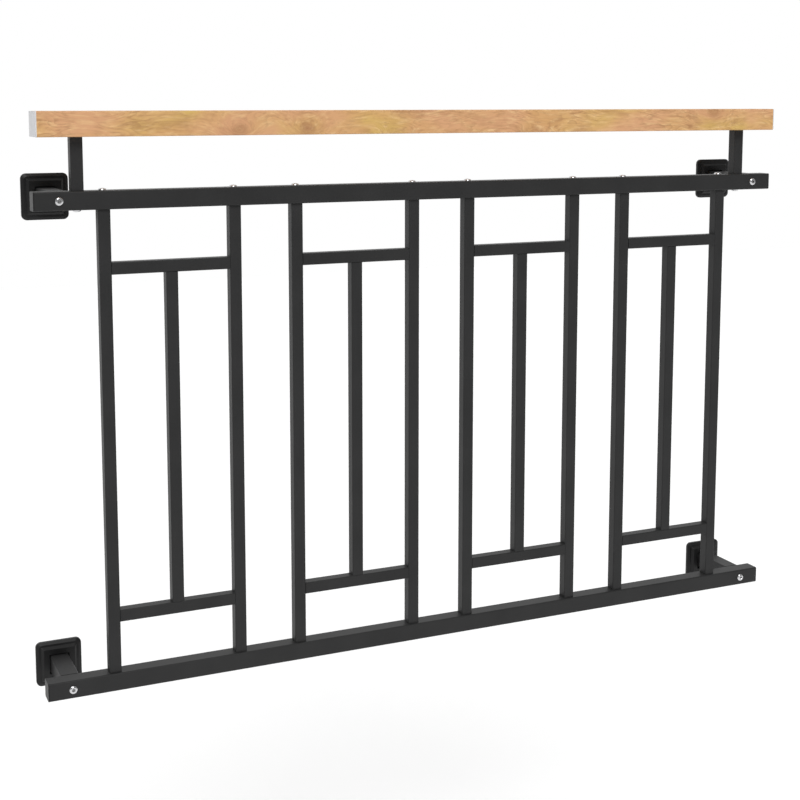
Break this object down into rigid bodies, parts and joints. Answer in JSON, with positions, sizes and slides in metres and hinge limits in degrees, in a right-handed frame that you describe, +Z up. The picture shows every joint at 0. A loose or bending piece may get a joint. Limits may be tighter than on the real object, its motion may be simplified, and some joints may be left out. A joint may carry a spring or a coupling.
{
  "type": "balcony railing",
  "caption": "Balcony railing of black square steel bars in panels between two rails, with a wood-look handrail and wall arms with square covers.",
  "frame": {"origin": "on the wall, at the centre of the lower left wall plate's back face", "axes": "+X along the railing to its right end, +Y into the wall, +Z up"},
  "size_m": [1.41, 0.145, 0.9732],
  "materials": {
    "powder_coated_steel": "fine matt powder coat, anthracite black",
    "black_plastic": "moulded plastic, satin black",
    "wood_look_handrail": "wood-look film of light oak, satin, on a steel box section",
    "grey_cap": "moulded plastic, light grey",
    "bolt_steel": "bright zinc plated screw steel"
  },
  "bodies": {
    "root": {"bottom_rail": "powder_coated_steel", "top_rail": "powder_coated_steel", "upright_1": "powder_coated_steel", "upright_2": "powder_coated_steel", "upright_3": "powder_coated_steel", "upright_4": "powder_coated_steel", "upright_5": "powder_coated_steel", "upright_6": "powder_coated_steel", "upright_7": "powder_coated_steel", "upright_8": "powder_coated_steel", "lower_crossbar_1": "powder_coated_steel", "lower_crossbar_2": "powder_coated_steel", "lower_crossbar_3": "powder_coated_steel", "lower_crossbar_4": "powder_coated_steel", "upper_crossbar_1": "powder_coated_steel", "upper_crossbar_2": "powder_coated_steel", "upper_crossbar_3": "powder_coated_steel", "upper_crossbar_4": "powder_coated_steel", "centre_bar_1": "powder_coated_steel", "centre_bar_2": "powder_coated_steel", "centre_bar_3": "powder_coated_steel", "centre_bar_4": "powder_coated_steel", "handrail_post_left": "powder_coated_steel", "handrail_post_right": "powder_coated_steel", "arm_lower_left": "powder_coated_steel", "arm_lower_right": "powder_coated_steel", "arm_upper_left": "powder_coated_steel", "arm_upper_right": "powder_coated_steel", "wall_plate_lower_left": "powder_coated_steel", "wall_plate_lower_right": "powder_coated_steel", "wall_plate_upper_left": "powder_coated_steel", "wall_plate_upper_right": "powder_coated_steel", "handrail": "wood_look_handrail", "handrail_cap_left": "grey_cap", "handrail_cap_right": "grey_cap", "rail_plug_lower_left": "black_plastic", "rail_plug_lower_right": "black_plastic", "rail_plug_upper_left": "black_plastic", "rail_plug_upper_right": "black_plastic", "rosette_lower_left": "black_plastic", "rosette_lower_right": "black_plastic", "rosette_upper_left": "black_plastic", "rosette_upper_right": "black_plastic"}
  },
  "joints": []
}
